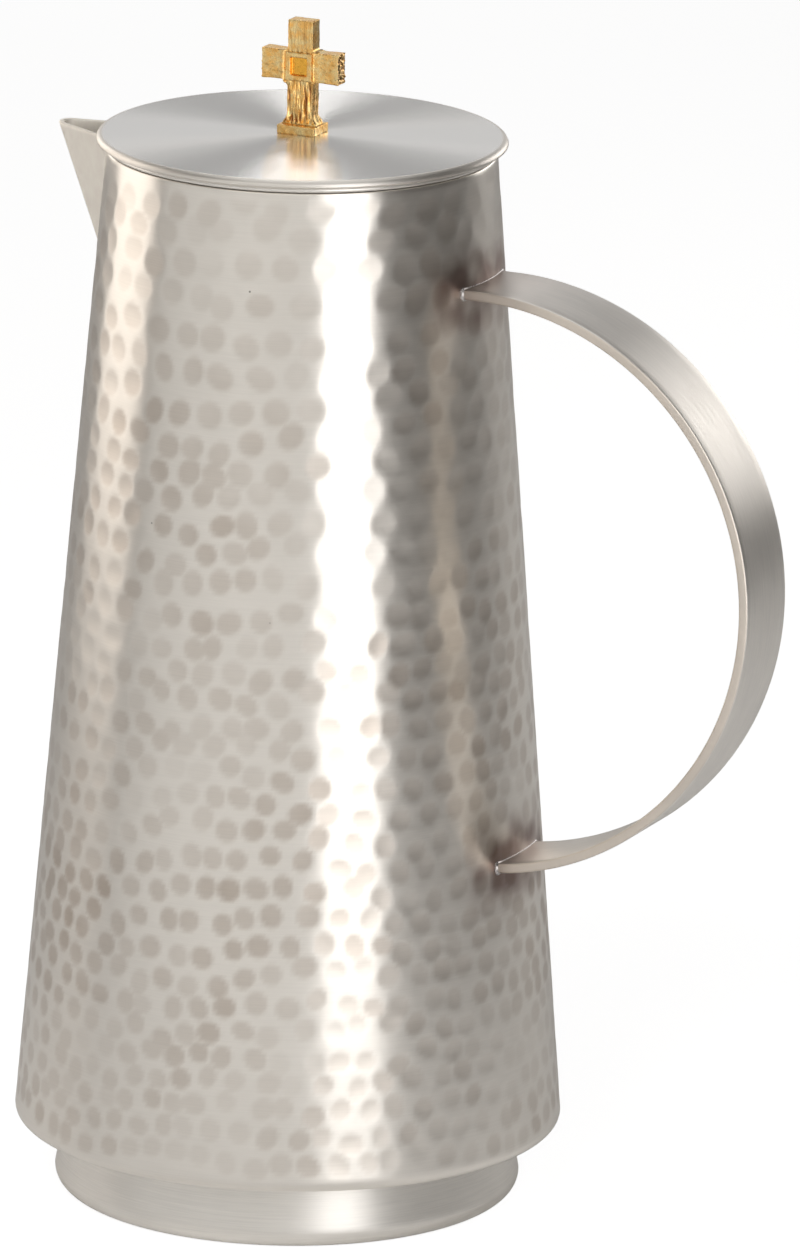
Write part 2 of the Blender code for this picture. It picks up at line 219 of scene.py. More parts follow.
class Nodes:
    """A short way to write a material's nodes."""

    def __init__(self, name):
        self.material = bpy.data.materials.new(name)
        self.material.use_nodes = True
        self.tree = self.material.node_tree
        self.shader = self.tree.nodes["Principled BSDF"]

    def add(self, kind, inputs=None, **settings):
        node = self.tree.nodes.new("ShaderNode" + kind)
        for key, value in settings.items():
            setattr(node, key, value)
        for key, value in (inputs or {}).items():
            self.feed(node, key, value)
        return node

    def feed(self, node, key, value):
        socket = node.inputs[key]
        if isinstance(value, bpy.types.NodeSocket):
            self.tree.links.new(value, socket)
        else:
            socket.default_value = value

    def math(self, operation, a, b=0.0):
        return self.add("Math", {0: a, 1: b}, operation=operation).outputs[0]

    def range(self, value, low, high, to_low=0.0, to_high=1.0):
        """Carries low..high softly to to_low..to_high."""
        inputs = {0: value, 1: low, 2: high, 3: to_low, 4: to_high}
        return self.add("MapRange", inputs, interpolation_type="SMOOTHSTEP").outputs[0]

    def mix(self, share, a, b, blend="MIX"):
        inputs = {0: share, 6: a, 7: b}
        return self.add("Mix", inputs, data_type="RGBA", blend_type=blend).outputs[2]

    def noise(self, vector, scale, detail=2.0, roughness=0.5):
        inputs = {"Vector": vector, "Scale": scale, "Detail": detail, "Roughness": roughness}
        return self.add("TexNoise", inputs).outputs["Fac"]

    def place(self):
        return self.add("TexCoord").outputs["Object"]

    def blend(self, a, b, share_of_b):
        """The weighted sum of two numbers."""
        first = self.math("MULTIPLY", a, 1.0 - share_of_b)
        return self.math("ADD", first, self.math("MULTIPLY", b, share_of_b))

    def stretch(self, vector, scale):
        return self.add("VectorMath", {0: vector, 1: scale}, operation="MULTIPLY").outputs[0]

    def attribute(self, name):
        return self.add("Attribute", attribute_name=name).outputs["Fac"]

    def bump(self, height, strength, distance):
        node = self.add("Bump", {"Height": height, "Strength": strength, "Distance": distance})
        return node.outputs["Normal"]

    def linked(self, key):
        """The socket that feeds one of the shader's own inputs."""
        return self.shader.inputs[key].links[0].from_socket

    def surface(self, **inputs):
        for key, value in inputs.items():
            self.feed(self.shader, key.replace("_", " "), value)


def colour(red, green, blue):
    """An opaque colour, in linear values."""
    return (red, green, blue, 1.0)


def around_axis(nodes):
    """The direction round the Z axis, along which turned pieces are brushed."""
    split = nodes.add("SeparateXYZ", {0: nodes.place()})
    back = nodes.math("MULTIPLY", split.outputs["Y"], -1.0)
    return nodes.add("CombineXYZ", {"X": back, "Y": split.outputs["X"]}).outputs[0]


def silver(
    name, tone, grain, roughness, anisotropy, tangent,
    grain_depth=0.25, mottle=0.06, unevenness=0.045,
):
    """Silver plate with fine brushing.

    grain stretches the noise that draws the brush lines, tangent gives their direction,
    mottle is how much the tone varies, and unevenness how much the roughness does.
    """
    nodes = Nodes(name)
    place = nodes.place()
    lines = nodes.noise(nodes.stretch(place, grain), 1.0, 3.0, 0.65)
    cloud = nodes.noise(place, 38.0, 3.0, 0.55)
    dark = colour(*(channel * (1 - 2 * mottle) for channel in tone))
    light = colour(*(min(1.0, channel * (1 + mottle)) for channel in tone))
    mixed = nodes.blend(lines, cloud, 0.4)
    nodes.surface(
        Metallic=1.0,
        Base_Color=nodes.mix(nodes.range(mixed, 0.3, 0.7), dark, light),
        Roughness=nodes.range(lines, 0.25, 0.75, roughness - unevenness, roughness + unevenness),
        Anisotropic=anisotropy,
        Anisotropic_Rotation=0.25,
        Tangent=tangent(nodes),
        Normal=nodes.bump(lines, grain_depth, 0.02 * MM),
    )
    return nodes


ROUND_GRAIN = (60.0, 60.0, 3200.0)  # brush lines that run round the axis


def hammered_silver():
    """Planished plate: each hammer mark is darker than the brushed land between.

    Round the handle's joints it is darker: part heat stain, part painted reflection of the strap's
    dark underside. It has a few dark pits.
    """
    nodes = silver(
        "hammered_silver", (0.93, 0.882, 0.818), ROUND_GRAIN, 0.30, 0.55, around_axis,
        grain_depth=0.03, mottle=0.02, unevenness=0.015,
    )
    land = nodes.linked("Base Color")
    rough = nodes.linked("Roughness")
    mark = nodes.attribute("mark")
    stain = nodes.noise(nodes.place(), 55.0, 2.0)
    share = nodes.math("MULTIPLY", mark, nodes.range(stain, 0.3, 0.7, 0.7, 1.0))
    darker = nodes.mix(1.0, land, colour(0.66, 0.605, 0.565), "MULTIPLY")
    struck = nodes.mix(share, land, darker)
    # darker round the handle's joints: part heat stain, part painted reflection of the strap in the
    # wall
    joint_darkening = nodes.attribute("scorch_and_strap_reflection")
    joint_darkened = nodes.mix(1.0, struck, colour(0.40, 0.325, 0.315), "MULTIPLY")
    with_joint_darkening = nodes.mix(nodes.range(joint_darkening, 0.0, 0.9), struck, joint_darkened)
    pits = nodes.add("TexVoronoi", {"Vector": nodes.place(), "Scale": 45.0}).outputs["Distance"]
    pitted = nodes.mix(nodes.range(pits, 0.012, 0.022, 1.0, 0.0), with_joint_darkening, colour(0.16, 0.13, 0.11))
    worn = nodes.math("ADD", rough, nodes.math("MULTIPLY", mark, 0.02))
    nodes.surface(
        Base_Color=pitted,
        Roughness=nodes.math("ADD", worn, nodes.math("MULTIPLY", joint_darkening, 0.12)),
    )
    return nodes.material


def satin_silver():
    """Smooth plate, brushed round: the foot and the mouth band."""
    return silver(
        "satin_silver", (0.92, 0.885, 0.835), ROUND_GRAIN, 0.40, 0.5, around_axis,
        grain_depth=0.1, mottle=0.04, unevenness=0.02,
    ).material


def inner_silver():
    """Plate that is seldom polished: the floor of the body and the lid's collar."""
    return silver("inner_silver", (0.80, 0.78, 0.75), ROUND_GRAIN, 0.36, 0.5, around_axis).material


def lid_silver(plain):
    """Turned plate: the brush lines are circles round the cross, so light spreads in a bow tie.

    Beyond the radius called plain, the rounded edge is satin like the rest.
    """
    nodes = Nodes("lid_silver")
    split = nodes.add("SeparateXYZ", {0: nodes.place()})
    flat = nodes.add("CombineXYZ", {"X": split.outputs["X"], "Y": split.outputs["Y"]}).outputs[0]
    reach = nodes.add("VectorMath", {0: flat}, operation="LENGTH").outputs["Value"]
    rings = {"W": nodes.math("MULTIPLY", reach, 2600.0), "Detail": 3.0}
    lines = nodes.add("TexNoise", rings, noise_dimensions="1D").outputs["Fac"]
    cloud = nodes.noise(nodes.place(), 45.0, 2.0)
    mixed = nodes.blend(lines, cloud, 0.5)
    edge = nodes.range(reach, plain - 0.4 * MM, plain + 0.4 * MM)
    plate = nodes.mix(mixed, colour(0.84, 0.825, 0.805), colour(0.92, 0.905, 0.885))
    rough = nodes.range(lines, 0.25, 0.75, 0.205, 0.245)
    nodes.surface(
        Metallic=1.0,
        Base_Color=nodes.mix(edge, plate, colour(0.84, 0.795, 0.74)),
        Roughness=nodes.math("ADD", rough, nodes.math("MULTIPLY", edge, 0.19)),
        Anisotropic=nodes.range(edge, 0.0, 1.0, 1.0, 0.2),
        Anisotropic_Rotation=0.25,
        Tangent=around_axis(nodes),
        Normal=nodes.bump(lines, 0.08, 0.008 * MM),
    )
    return nodes.material


STRAP_SHADED = (48 * MM, 80 * MM)  # from the axis: where the painted shade at the joints is darkest, and where there is none


def strap_silver(centre):
    """The handle: brushed along its bend, with painted shade where it runs into the body, duller on
    its narrow sides.
    """

    def along(nodes):
        arm = nodes.add("VectorMath", {0: nodes.place(), 1: centre}, operation="SUBTRACT")
        split = nodes.add("SeparateXYZ", {0: arm.outputs[0]})
        down = nodes.math("MULTIPLY", split.outputs["X"], -1.0)
        return nodes.add("CombineXYZ", {"X": split.outputs["Z"], "Z": down}).outputs[0]

    grain = (90.0, 1700.0, 90.0)
    nodes = silver(
        "strap_silver", (0.955, 0.915, 0.865), grain, 0.40, 0.5, along,
        grain_depth=0.1, mottle=0.035,
    )
    face = nodes.linked("Base Color")
    split = nodes.add("SeparateXYZ", {0: nodes.place()})
    # painted shade: darker where the strap runs into the body at its two joints
    joint_darkening = nodes.range(split.outputs["X"], *STRAP_SHADED, 1.0, 0.0)
    shaded_root = nodes.mix(1.0, face, colour(0.56, 0.53, 0.52), "MULTIPLY")
    face = nodes.mix(joint_darkening, face, shaded_root)
    edge = nodes.math("ABSOLUTE", split.outputs["Y"])
    share = nodes.range(edge, STRAP_HALF - 0.35 * MM, STRAP_HALF - 0.1 * MM)
    worn = nodes.mix(1.0, face, colour(0.87, 0.82, 0.77), "MULTIPLY")
    nodes.surface(Base_Color=nodes.mix(share, face, worn))
    return nodes.material


def spout_silver():
    """The spout's sheet, matt and brushed along its fold."""

    def upwards(nodes):
        return nodes.add("CombineXYZ", {"X": -0.35, "Z": 0.94}).outputs[0]

    grain = (420.0, 420.0, 160.0)
    return silver(
        "spout_silver", (1.0, 0.935, 0.865), grain, 0.62, 0.3, upwards,
        grain_depth=0.05, mottle=0.03,
    ).material


def solder_silver():
    """Hard solder: smoother than the plate, part bright and part dark with scale."""
    nodes = Nodes("solder_silver")
    cloud = nodes.noise(nodes.place(), 500.0, 3.0)
    nodes.surface(
        Metallic=1.0,
        Base_Color=nodes.mix(cloud, colour(0.30, 0.27, 0.26), colour(0.74, 0.71, 0.69)),
        Roughness=nodes.range(cloud, 0.3, 0.7, 0.20, 0.40),
        Normal=nodes.bump(cloud, 0.4, 0.05 * MM),
    )
    return nodes.material


def gilt_cast():
    """Gilded casting: bright where it is worn, with painted shade in its hollows and a painted
    reflection inside the framed square.
    """
    nodes = Nodes("gilt_cast")
    place = nodes.place()
    grain = nodes.noise(nodes.stretch(place, (1.0, 1.0, 0.35)), 2600.0, 4.0, 0.6)
    cloud = nodes.noise(place, 420.0, 2.0)
    hollow = nodes.attribute("hollow")
    # painted shade: the brown laid into the hollows
    deep = colour(0.34, 0.14, 0.05)
    gold = colour(1.0, 0.56, 0.16)
    bright = colour(1.0, 0.775, 0.375)
    painted_gold_reflection = colour(1.0, 0.52, 0.08)  # painted reflection inside the framed square, where gold mirrors gold
    wear = nodes.blend(grain, cloud, 0.7)
    face = nodes.mix(nodes.range(wear, 0.35, 0.68), gold, bright)
    nodes.surface(
        Metallic=1.0,
        Base_Color=nodes.mix(nodes.attribute("painted_reflection_zone"), nodes.mix(hollow, face, deep), painted_gold_reflection),
        Roughness=nodes.range(grain, 0.3, 0.7, 0.22, 0.34),
        Normal=nodes.bump(grain, 0.10, 0.06 * MM),
    )
    return nodes.material


def screw_steel():
    """Turned steel: the screw and its washer."""
    nodes = Nodes("screw_steel")
    cloud = nodes.noise(nodes.place(), 900.0, 3.0)
    nodes.surface(
        Metallic=1.0,
        Base_Color=nodes.mix(cloud, colour(0.55, 0.55, 0.54), colour(0.70, 0.70, 0.69)),
        Roughness=nodes.range(cloud, 0.3, 0.7, 0.30, 0.46),
    )
    return nodes.material


# ---- the hammered body

BODY_COLUMNS = 420
BODY_ROWS = 224
INNER_SHARE = 5  # outer columns for each column of the plain inside
SOFT_LIP = 0.35 * MM  # radius of the wall's top edge
WALL_WAVE = 0.06 * MM  # slow unevenness of the wall, besides the hammer marks
MARK_SEED = 11
MARK_FADE = 2.5 * MM  # the marks die out towards the mouth and the bottom edge
FIRST_COURSE = 4.5 * MM  # height of the lowest course of marks over the bottom edge
FIRST_BLOW = math.radians(-65)  # where every course starts


def mark_pitch(z):
    """Distance between neighbouring hammer marks: wider towards the mouth."""
    share = (z - BODY_LOW) / (BODY_HIGH - BODY_LOW)
    return (7.0 + 1.9 * share**2) * MM


def hammer_marks():
    """Marks as (angle, height, size, oval, depth, stain), struck in level courses by hand."""
    rand = random.Random(MARK_SEED)
    marks = []
    z = CONE_BASE + FIRST_COURSE
    course = 0
    while z < BODY_HIGH - MARK_FADE:
        pitch = mark_pitch(z)
        radius = wall_radius(z)
        count = round(2 * math.pi * radius / (1.06 * pitch))
        for k in range(count):
            angle = (k + 0.5 * (course % 2)) * 2 * math.pi / count + FIRST_BLOW
            spot = Vector((math.cos(angle) * radius, math.sin(angle) * radius, z))
            sideways = noise.noise(spot * 22 + Vector((31.4, 0, 0)))
            upwards = noise.noise(spot * 22 + Vector((0, 47.1, 0)))
            angle += (rand.gauss(0, 0.10) + 0.6 * sideways) * pitch / radius
            height = z + (rand.gauss(0, 0.12) + 0.9 * upwards) * pitch
            size = pitch * rand.uniform(0.39, 0.46)
            oval = rand.uniform(0.88, 1.14), rand.uniform(0, math.pi)
            share = (height - BODY_LOW) / (BODY_HIGH - BODY_LOW)
            depth = rand.uniform(1.0, 1.6) * size**2 / (2 * radius)  # 1.0 would leave it flat
            depth *= 1.05 - 0.35 * share
            stain = 0.52 + 0.6 * noise.noise(spot * 30) + rand.uniform(-0.2, 0.2)
            stain = min(1.0, max(0.1, stain))
            stain *= 1.0 - 0.4 * max(0.0, share - 0.45) / 0.55 - 0.3 * max(0.0, 0.2 - share) / 0.2
            marks.append((angle, height, size, oval, depth, stain))
        z += pitch * rand.uniform(0.92, 1.0)
        course += 1
    return marks


def dent(heights, columns):
    """Depth and stain of the hammer marks over the wall's grid of points."""
    depth = np.zeros((len(heights), columns))
    stain = np.zeros((len(heights), columns))
    for angle, z, size, (stretch, slant), deep, tone in hammer_marks():
        radius = wall_radius(z)
        reach = 1.25 * size
        rows = np.nonzero(np.abs(heights - z) < reach)[0]
        half = int(reach / radius / (2 * math.pi) * columns) + 1
        middle = int(round(angle / (2 * math.pi) * columns))
        picked = np.arange(middle - half, middle + half + 1)
        turned = picked * 2 * math.pi / columns - angle
        across, up = turned[None, :] * radius, (heights[rows] - z)[:, None]
        long = across * math.cos(slant) + up * math.sin(slant)
        short = up * math.cos(slant) - across * math.sin(slant)
        distance = np.hypot(long / stretch, short * stretch) / size
        bowl = deep * np.clip(1.08 - distance**2, 0, None)
        edge = np.clip((1.15 - distance) / 0.45, 0, 1)
        disc = tone * edge * edge * (3 - 2 * edge)
        block = np.ix_(rows, picked % columns)
        depth[block] = np.maximum(depth[block], bowl)
        stain[block] = np.maximum(stain[block], disc)
    return depth, stain


def slow_wave(heights, angles):
    """A gentle unevenness over the wall's grid of points, from -1 to 1."""
    wave = np.zeros((len(heights), len(angles)))
    for i, z in enumerate(heights):
        for k in range(0, len(angles), 4):
            spot = Vector((math.cos(angles[k]), math.sin(angles[k]), z * 14)) * 3.2
            wave[i, k : k + 4] = noise.noise(spot)
    ease = np.ones(9) / 9
    padded = np.concatenate([wave[:, -4:], wave, wave[:, :4]], axis=1)
    return np.apply_along_axis(lambda row: np.convolve(row, ease, "valid"), 1, padded)


def dented_wall(heights, angles):
    """The outside of the cone with its dents, and how stained each point is."""
    depth, stain = dent(heights, len(angles))
    fade = np.clip((BODY_HIGH - heights) / MARK_FADE - 0.4, 0, 1)
    fade *= np.clip((heights - CONE_BASE) / MARK_FADE + 0.35, 0, 1)
    depth *= fade[:, None]
    stain *= fade[:, None]
    wave = slow_wave(heights, angles)
    radius = wall_radius(heights)[:, None] - depth + WALL_WAVE * wave * fade[:, None]
    level = np.repeat(heights[:, None], len(angles), axis=1) - depth * TAPER
    wall = np.stack([radius * np.cos(angles), radius * np.sin(angles), level], axis=-1)
    return wall, stain


def edge_faces(outer_first, inner_first):
    """Faces between a ring of the fine outside and the same ring of the plain inside."""
    faces = []
    few = BODY_COLUMNS // INNER_SHARE
    for k in range(few):
        fine = [outer_first + (k * INNER_SHARE + i) % BODY_COLUMNS for i in range(INNER_SHARE + 1)]
        faces.append(fine + [inner_first + (k + 1) % few, inner_first + k])
    return faces


def hammered_body(material):
    """The body shell: a dented outside, a rounded bottom edge, a flange and a plain inside."""
    heights = np.linspace(BODY_HIGH - SOFT_LIP, CONE_BASE, BODY_ROWS)
    angles = np.arange(BODY_COLUMNS) * 2 * math.pi / BODY_COLUMNS
    wall, stain = dented_wall(heights, angles)
    top = arc((BODY_MOUTH - SOFT_LIP, BODY_HIGH - SOFT_LIP), SOFT_LIP, 90, 30, 2)
    corner = (BODY_WIDE - BODY_EDGE, CONE_BASE)
    under = arc(corner, BODY_EDGE, -10, -90, 8)
    under += [(FLANGE_RADIUS, BODY_LOW), (FLANGE_RADIUS, BODY_LOW + SHEET)]
    outside = np.concatenate([turn(top, BODY_COLUMNS), wall, turn(under, BODY_COLUMNS)])
    inner = [(FLANGE_RADIUS + SHEET, BODY_LOW + SHEET)]
    inner += arc(corner, BODY_EDGE - SHEET, -90, 0, 4)
    inner += line((BODY_WIDE - SHEET, CONE_BASE), (BODY_MOUTH - SHEET, BODY_HIGH), 8)[1:]
    inner += [(BODY_MOUTH - SHEET, BODY_HIGH)]
    few = BODY_COLUMNS // INNER_SHARE
    inside = turn(inner, few)
    outer_count = outside.shape[0] * BODY_COLUMNS
    faces = grid_faces(outside.shape[0], BODY_COLUMNS)
    faces += grid_faces(len(inner), few, first=outer_count)
    faces += edge_faces(outer_count - BODY_COLUMNS, outer_count)
    mouth = edge_faces(0, outer_count + (len(inner) - 1) * few)
    faces += [face[::-1] for face in mouth]
    points = np.concatenate([outside.reshape(-1, 3), inside.reshape(-1, 3)])
    body = make_piece(
        "body_hammered", points, faces, material, "pitcher", "hammered_silver", ["body_shell"]
    )
    marked = np.zeros(len(points))
    start = len(top) * BODY_COLUMNS
    marked[start : start + stain.size] = stain.ravel()
    store(body, "mark", marked)
    # the darkening at the joints: heat stain and painted reflection of the strap
    store(body, "scorch_and_strap_reflection", heat_stain_and_reflection(points))
    notch = body.modifiers.new("pouring_notch", "BOOLEAN")
    notch.object = notch_cutter()
    notch.solver = "EXACT"
    return body


JOINT_DARKENING_REACH = 10 * MM  # how far the darkening spreads from the strap: heat stain and painted reflection of the strap


def heat_stain_and_reflection(points):
    """How dark the silver is round the handle's two joints: part heat stain, part painted
    reflection of the strap.
    """
    x, y, z = points.T
    stain = np.zeros(len(points))
    for height in HANDLE_JOINTS:
        away = np.maximum(np.abs(y) - STRAP_HALF, 0)
        distance = np.hypot(away, z - height)
        cloud = np.array([
            noise.noise(Vector(p) * 160) if near < 3 * JOINT_DARKENING_REACH and p[0] > 0 else 0.0
            for p, near in zip(points, distance)
        ])
        halo = np.exp(-((distance / JOINT_DARKENING_REACH) ** 2)) * (0.85 + 0.7 * cloud)
        stain = np.maximum(stain, np.where(x > 0, halo, 0.0))
    return np.clip(stain, 0, 1)


NOTCH_APEX = 234.0 * MM  # height of the notch's point
NOTCH_HALF_WIDTH = 7.4 * MM  # half its width at the mouth
NOTCH_SPARE = 5 * MM  # how far the cutter reaches past the wall on each side and above


def notch_cutter():
    """The wedge that opens the wall behind the spout."""
    top = BODY_HIGH + NOTCH_SPARE
    half = NOTCH_HALF_WIDTH * (top - NOTCH_APEX) / (BODY_HIGH - NOTCH_APEX)
    ends = (-wall_radius(NOTCH_APEX) - NOTCH_SPARE, -BODY_MOUTH + NOTCH_SPARE)
    points = [(x, y, z) for x in ends for y, z in ((0, NOTCH_APEX), (half, top), (-half, top))]
    faces = [[0, 1, 2], [5, 4, 3], [0, 3, 4, 1], [1, 4, 5, 2], [2, 5, 3, 0]]
    cutter = closed_mesh("notch_cutter", points, faces)
    cutter.hide_render = True
    cutter.display_type = "WIRE"
    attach(cutter, "pitcher")
    return cutter


# ---- foot, rim and lid

FINE_COLUMNS = 256
FOOT_EDGE = 4.5 * MM  # radius of the foot's rounded bottom edge
FOOT_LIP = 2.0 * MM  # the flat that it stands on
SPOUT_OPENING = math.radians(24)  # the part of the mouth that the rim leaves open
LID_EDGE = 1.5 * MM  # radius of the lid's upper edge
LID_LIP = 0.7 * MM  # radius of its lower edge
LID_RISE = 0.3 * MM  # its top is this much higher in the middle and lower at its edge
LID_RECESS = 47.7 * MM  # radius of the recess under it
LID_HOLE = 1.55 * MM  # radius of the screw's hole


def smooth_foot(material):
    """The spun foot band, with a rounded edge where it stands."""
    wide = FOOT_HIGH.x
    top = FOOT_HIGH.z
    top_radius = ring_radius("foot_ring", top)
    corner = (wide - FOOT_EDGE, FOOT_EDGE)
    lip = corner[0] - FOOT_LIP
    profile = line((top_radius, top), (wide, FOOT_EDGE), 12)
    profile += arc(corner, FOOT_EDGE, 0, -90, 14)
    profile += [(lip, 0.0), (lip, SHEET)]
    profile += arc(corner, FOOT_EDGE - SHEET, -90, 0, 8)
    profile += [(top_radius - SHEET, top)]
    turned_piece("foot_band", profile, material, "pitcher", "satin_silver", ["foot_ring"])


def smooth_rim(material):
    """The narrow plain band at the mouth, open over the spout."""
    wide = RIM_HIGH.x
    inner = BODY_MOUTH - SHEET
    half = (RIM_HIGH.z - RIM_LOW.z) / 2
    middle = RIM_LOW.z + half
    section = arc((wide - half, middle), half, 90, -90, 12)
    section += [(inner, RIM_LOW.z), (inner, RIM_HIGH.z)]
    half_gap = SPOUT_OPENING / 2
    angles = np.linspace(math.pi + half_gap, 3 * math.pi - half_gap, FINE_COLUMNS)
    rows = [[(r * math.cos(a), r * math.sin(a), z) for r, z in section] for a in angles]
    faces = grid_faces(FINE_COLUMNS, len(section))
    faces += end_faces(FINE_COLUMNS, len(section))
    make_piece("mouth_band", rows, faces, material, "pitcher", "satin_silver", ["mouth_rim"])


def turned_lid(material):
    """The lid: a hardly domed top, a rounded edge and a small lower lip."""
    wide = LID_HIGH.x
    low, high = LID_LOW.z, LID_HIGH.z
    under = high - SHEET
    flat = wide - LID_EDGE
    soft = 0.2 * MM  # bevel in the corner of the recess
    profile = [
        (r, high + LID_RISE * (1 - 2 * (r / flat) ** 2)) for r in np.linspace(LID_HOLE, flat, 25)
    ]
    profile += arc((flat, high - LID_RISE - LID_EDGE), LID_EDGE, 88, 0, 10)
    profile += arc((wide - LID_LIP, low + LID_LIP), LID_LIP, 0, -90, 6)
    profile += [(LID_RECESS, low), (LID_RECESS, under - soft), (LID_RECESS - soft, under)]
    profile += [(LID_HOLE, under)]
    turned_piece("lid_turned", profile, material, "lid", "lid_silver", ["lid_disc"])


# ---- spout

SPOUT_LEAN = 0.3745  # how far the fold comes inwards for each metre down
SPOUT_HALF_ANGLE = math.radians(22.5)  # between a side and the middle plane, from above
SPOUT_NOSE = 3.7 * MM  # outer radius of the fold at the tip
SPOUT_HEEL = 1.6 * MM  # and at the heel
SPOUT_FALL = 0.059  # slope of the top edge, down towards the body
SPOUT_HEEL_Z = 222.0 * MM  # a height below the heel
SPOUT_TIP_Z = 271.2 * MM
SPOUT_SOFT = 0.4 * MM  # radius of the top edge
SPOUT_GAP = 0.4 * MM  # how far its joints run into the body's wall
SPOUT_SEAM = 0.05 * MM  # how far the solder's middle lies outside the wall
SPOUT_ROWS, SPOUT_COLUMNS = 56, 61


def fold_edge(z):
    """Where the spout's outside fold is at height z."""
    return SPOUT_LOW.x + SPOUT_LEAN * (SPOUT_TIP_Z - z)


def meeting_height(inset):
    """Height at which the fold, inset by the sheet or not, runs into the body."""
    low, high = SPOUT_HEEL_Z, SPOUT_TIP_Z
    for _ in range(40):
        middle = (low + high) / 2
        if fold_edge(middle) + inset < -wall_radius(middle) - 0.02 * MM:
            high = middle
        else:
            low = middle
    return high


def spout_point(share, z, inset):
    """A point of the folded sheet: share runs from -1 at one joint to 1 at the other."""
    slope = (SPOUT_NOSE - SPOUT_HEEL) / (SPOUT_TIP_Z - SPOUT_HEEL_Z)
    outer = SPOUT_NOSE - slope * (SPOUT_TIP_Z - z)
    centre = fold_edge(z) + outer
    bend = max(outer - inset, 0.2 * MM)
    swing = math.pi / 2 - SPOUT_HALF_ANGLE
    turn_share = 0.45  # of the section's points lie on the bend
    reach = wall_radius(z) - SPOUT_GAP
    start = (centre + bend * math.cos(math.pi - swing), bend * math.sin(math.pi - swing))
    way = (math.cos(SPOUT_HALF_ANGLE), math.sin(SPOUT_HALF_ANGLE))
    along = start[0] * way[0] + start[1] * way[1]
    rest = start[0] ** 2 + start[1] ** 2 - reach**2
    length = max(0.0, -along - math.sqrt(max(along * along - rest, 0.0)))
    if abs(share) <= turn_share:
        angle = math.pi - swing * abs(share) / turn_share
        x, y = centre + bend * math.cos(angle), bend * math.sin(angle)
    else:
        t = (abs(share) - turn_share) / (1 - turn_share) * length
        x, y = start[0] + t * way[0], start[1] + t * way[1]
    x = min(x, -math.sqrt(max(reach**2 - y * y, 0.0)))
    return x, math.copysign(y, share)


def spout_sheet(inset):
    """Grid of points over one face of the sheet, from its heel up to the sloping top."""
    heel = meeting_height(inset)
    grid = []
    for v in np.linspace(0, 1, SPOUT_ROWS):
        row = []
        for share in np.linspace(-1, 1, SPOUT_COLUMNS):
            z = heel + v * (SPOUT_TIP_Z - heel)
            for _ in range(4):
                x, y = spout_point(share, z, inset)
                top = SPOUT_TIP_Z - SPOUT_FALL * (x - SPOUT_LOW.x) - SPOUT_SOFT
                z = heel + v * (top - heel)
            row.append((x, y, z))
        grid.append(row)
    return np.array(grid)


def folded_spout(material, solder):
    """The folded sheet with its softened top edge, and the solder along its two joints."""
    outer = spout_sheet(0.0)
    inner = spout_sheet(SHEET)
    rings = [np.concatenate([a, b[::-1]]) for a, b in zip(outer, inner)]
    for k in (1, 2, 3):
        angle = k * math.pi / 6
        lift = SPOUT_SOFT * math.sin(angle)
        inset = SPOUT_SOFT * (1 - math.cos(angle))
        step = (inner[-1] - outer[-1]) / np.linalg.norm(inner[-1] - outer[-1], axis=1)[:, None]
        a = outer[-1] + step * inset + (0, 0, lift)
        b = inner[-1] - step * inset + (0, 0, lift)
        rings.append(np.concatenate([a, b[::-1]]))
    rings = np.array(rings)
    count, width = rings.shape[:2]
    faces = grid_faces(count, width)
    for first, flip in ((0, False), ((count - 1) * width, True)):
        for i in range(SPOUT_COLUMNS - 1):
            face = [first + i, first + i + 1, first + width - 2 - i, first + width - 1 - i]
            faces.append(face if flip else face[::-1])
    make_piece("spout_folded", rings, faces, material, "pitcher", "spout_silver", ["spout"])
    left = [seam_point(p) for p in outer[::-1, 0]]
    right = [seam_point(p) for p in outer[:, -1]]
    path = left + right[1:]
    radii = uneven(path, 0.4 * MM)
    radii[0] = radii[-1] = 0.15 * MM
    tube_piece("spout_solder", path, radii, solder, "pitcher", "spout_silver", sides=8)


def seam_point(point):
    """The same place, moved out to the body's surface."""
    out = Vector((point[0], point[1], 0)).normalized() * (wall_radius(point[2]) + SPOUT_SEAM)
    return np.array((out.x, out.y, point[2]))


# ---- handle

STRAP_EDGE = 0.65 * MM  # radius of the strap's softened corners
STRAP_INSET = 0.6 * MM  # how far its ends run into the body's wall
STRAP_STRAIGHT, STRAP_BEND = 4, 168  # steps along the straight end and along the bend


def strap_section():
    """The strap's cross-section as (across, outwards): flat faces, softened corners."""
    across = STRAP_HALF - STRAP_EDGE
    outwards = STRAP_THICKNESS / 2 - STRAP_EDGE
    section = []
    corners = [(across, outwards, 0), (-across, outwards, 90)]
    corners += [(-across, -outwards, 180), (across, -outwards, 270)]
    for i, (y, n, angle) in enumerate(corners):
        section += arc((y, n), STRAP_EDGE, angle, angle + 90, 4)
        if i % 2 == 0:  # the wide faces get points across, so that their ends follow the wall
            end = corners[i + 1]
            section += line((y, section[-1][1]), (end[0], section[-1][1]), 9)[1:]
    return np.array(section)


def strap_point(y, n, where):
    """where is negative on the straight run into the body, then the angle from the top."""
    reach = HANDLE_OUTER - STRAP_THICKNESS / 2 + n
    if where < 0:
        return (HANDLE_X + where, y, HANDLE_Z + reach)
    return (HANDLE_X + reach * math.sin(where), y, HANDLE_Z + reach * math.cos(where))


def strap_end(y, n, inset):
    """How far the strap's two ends run at (y, n) to stop just inside the body's wall."""
    z = strap_point(y, n, 0)[2]
    top = math.sqrt((wall_radius(z) - inset) ** 2 - y * y) - HANDLE_X
    low, high = math.pi / 2, math.pi
    for _ in range(40):
        angle = (low + high) / 2
        x, y, z = strap_point(y, n, angle)
        if x * x + y * y > (wall_radius(z) - inset) ** 2:
            low = angle
        else:
            high = angle
    return top, low


